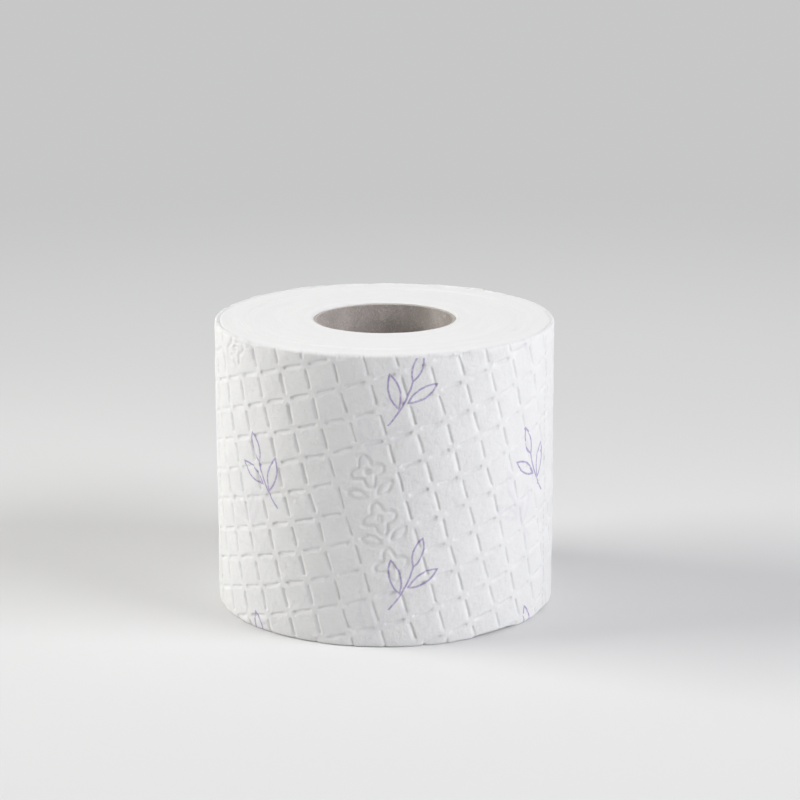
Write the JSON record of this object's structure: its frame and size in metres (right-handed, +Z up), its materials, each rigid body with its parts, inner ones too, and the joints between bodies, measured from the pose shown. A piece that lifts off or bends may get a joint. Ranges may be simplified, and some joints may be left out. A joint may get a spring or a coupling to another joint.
{
  "type": "toilet paper roll",
  "caption": "White quilted toilet tissue with small printed sprigs, wound on a grey-brown cardboard core and standing on its end.",
  "frame": {"origin": "on the roll's axis, at its lower end", "axes": "+Z up along the roll's axis; -Y is the front; +X is the front's right; the loose end of the web is at the back right"},
  "size_m": [0.112, 0.1122, 0.095],
  "materials": {
    "tissue": "soft, matt, embossed",
    "board": "matt, unprinted"
  },
  "bodies": {
    "root": {"tissue_winding": "tissue", "cardboard_core": "board"}
  },
  "joints": []
}
